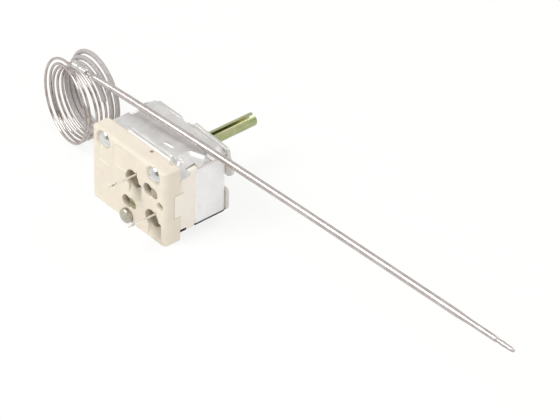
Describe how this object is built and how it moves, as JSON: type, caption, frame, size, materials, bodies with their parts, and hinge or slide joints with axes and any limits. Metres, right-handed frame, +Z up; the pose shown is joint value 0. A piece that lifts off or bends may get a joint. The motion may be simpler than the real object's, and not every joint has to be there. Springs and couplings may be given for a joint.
{
  "type": "capillary thermostat",
  "caption": "Oven temperature control with a slotted turning shaft, cream terminal block with spade tabs, coiled capillary and a long thin sensing probe.",
  "frame": {"origin": "centre of the two fixing holes on the mounting face, which is also on the shaft axis", "axes": "+Y along the control shaft, away from the body; +Z up; +X to the right when looking at the terminals"},
  "size_m": [0.2691, 0.0797, 0.0404],
  "materials": {
    "block": "moulded cream plastic, slightly rough",
    "base": "moulded cream plastic, slightly rough",
    "zinc": "zinc-plated pressed sheet, satin with soft streaks",
    "plate": "zinc-plated punched sheet, dull",
    "label": "pale paper label, bare",
    "insulator": "black fibre sheet",
    "chromate": "yellow-olive chromated steel",
    "brass": "turned brass",
    "steel": "turned steel",
    "capsule": "thin bronze shells, brazed",
    "capillary": "drawn tube, shiny with a warm tarnish",
    "ceramic": "glazed ceramic",
    "spring_bronze": "rolled spring bronze",
    "contact": "polished silver",
    "tab": "nickel-plated brass sheet",
    "rivet": "bright plated rivet",
    "grey_rivet": "dull grey steel",
    "screw": "dark olive chromated steel",
    "copper_rivet": "dull brown copper alloy",
    "sleeve": "grey glass-fibre sleeve",
    "collar": "bright crimped collar",
    "probe": "drawn tube, semi-bright with small scuffs"
  },
  "bodies": {
    "root": {"terminal_block": "block", "switch_base": "base", "metal_cover": "zinc", "mounting_plate": "plate", "side_label": "label", "bottom_insulator": "insulator", "shaft_bush": "brass", "fixed_contact": "contact", "contact_bar": "spring_bronze", "lever_bracket": "spring_bronze", "pivot_pin": "steel", "terminal_upper": "tab", "terminal_lower": "tab", "rivet_left": "rivet", "rivet_right": "rivet", "rivet_bottom": "grey_rivet", "calibration_screw": "screw", "contact_rivet": "copper_rivet", "sleeve_lead": "sleeve", "capillary_coil": "capillary", "probe_collar": "collar", "probe": "probe"},
    "setting_shaft": {"control_shaft": "chromate", "adjusting_spindle": "steel"},
    "diaphragm": {"diaphragm_capsule": "capsule", "capsule_stud": "steel", "capillary_stub": "capillary"},
    "lever": {"switch_lever": "spring_bronze", "moving_contact": "contact"},
    "pin": {"push_pin": "ceramic"}
  },
  "joints": [
    {"name": "capsule_travel", "type": "slide", "parent": "root", "child": "diaphragm", "axis": [0, 1, 0], "range_m": [0, 0.0006]},
    {"name": "shaft_turn", "type": "hinge", "parent": "diaphragm", "child": "setting_shaft", "pos_m": [0, 0, 0], "axis": [0, 1, 0], "range_deg": [0, 270]},
    {"name": "lever_swing", "type": "hinge", "parent": "root", "child": "lever", "pos_m": [-0.013, -0.0199, 0], "axis": [0, 0, -1], "range_deg": [0, 1.3]},
    {"name": "pin_travel", "type": "slide", "parent": "root", "child": "pin", "axis": [0, -1, 0], "range_m": [0, 0.0003]}
  ],
  "couplings": [
    {"joint": "shaft_turn", "follows": "capsule_travel", "rad_per_m": 7854},
    {"joint": "pin_travel", "follows": "lever_swing", "m_per_rad": 0.013}
  ]
}
